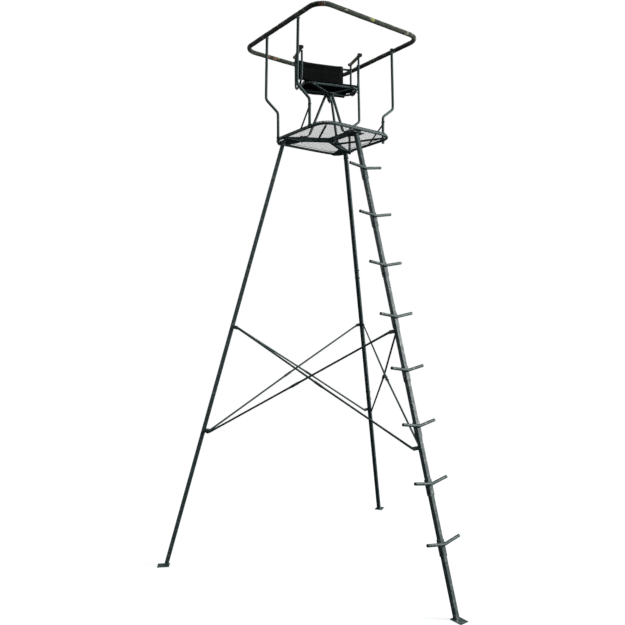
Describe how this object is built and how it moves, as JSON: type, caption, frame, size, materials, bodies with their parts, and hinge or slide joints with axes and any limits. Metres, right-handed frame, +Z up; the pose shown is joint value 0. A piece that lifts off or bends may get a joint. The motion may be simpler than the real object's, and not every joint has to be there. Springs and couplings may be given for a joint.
{
  "type": "tripod hunting stand",
  "caption": "Raised platform on a tube tripod, with a ladder pole of V steps, crossed braces, a padded shooting rail and a swivel seat with arm rests.",
  "frame": {"origin": "centre of the bounding box in plan, on the ground under the foot plates", "axes": "+Z up; -Y to the ladder side, which is the front; +X to the sitter's left when facing the ladder"},
  "size_m": [2.8432, 2.4344, 4.896],
  "materials": {
    "frame_steel": "dark green-grey powder coat, satin",
    "grating_steel": "powder-coated expanded metal",
    "black_fabric": "matte black woven fabric over foam",
    "camouflage_fabric": "camouflage fabric over foam, matte"
  },
  "bodies": {
    "stand": {"platform_frame": "frame_steel", "platform_floor": "grating_steel", "beam_left": "frame_steel", "beam_right": "frame_steel", "beam_ladder": "frame_steel", "cross_bar_left": "frame_steel", "cross_bar_right": "frame_steel", "leg_socket_left": "frame_steel", "leg_socket_right": "frame_steel", "leg_socket_ladder": "frame_steel", "leg_left_upper": "frame_steel", "leg_left_middle": "frame_steel", "leg_left_lower": "frame_steel", "leg_right_upper": "frame_steel", "leg_right_middle": "frame_steel", "leg_right_lower": "frame_steel", "ladder_upper": "frame_steel", "ladder_middle": "frame_steel", "ladder_lower": "frame_steel", "step_1": "frame_steel", "step_2": "frame_steel", "step_3": "frame_steel", "step_4": "frame_steel", "step_5": "frame_steel", "step_6": "frame_steel", "step_7": "frame_steel", "step_8": "frame_steel", "foot_left": "frame_steel", "foot_right": "frame_steel", "foot_ladder": "frame_steel", "brace_left_high_to_right_low": "frame_steel", "brace_left_low_to_right_high": "frame_steel", "brace_right_high_to_ladder_low": "frame_steel", "brace_right_low_to_ladder_high": "frame_steel", "brace_ladder_high_to_left_low": "frame_steel", "brace_ladder_low_to_left_high": "frame_steel", "rail_post_back_left": "frame_steel", "rail_post_back_right": "frame_steel", "rail_post_front_left": "frame_steel", "rail_post_front_right": "frame_steel", "post_gusset_left": "frame_steel", "post_gusset_right": "frame_steel", "rail_tube_back": "frame_steel", "rail_tube_front": "frame_steel", "rail_sleeve_back": "camouflage_fabric", "rail_sleeve_front": "camouflage_fabric", "pedestal_leg_left": "frame_steel", "pedestal_leg_right": "frame_steel", "pedestal_leg_ladder": "frame_steel", "pedestal_hub": "frame_steel"},
    "seat": {"seat_spider": "frame_steel", "seat_frame": "frame_steel", "arm_tube_left": "frame_steel", "arm_tube_right": "frame_steel", "back_tube": "frame_steel", "arm_pad_left": "camouflage_fabric", "arm_pad_right": "camouflage_fabric", "seat_pad": "black_fabric", "back_panel": "black_fabric"}
  },
  "joints": [
    {"name": "seat_swivel", "type": "hinge", "parent": "stand", "child": "seat", "pos_m": [0, 0.37185, 4.402], "axis": [0, 0, 1], "continuous": true}
  ]
}
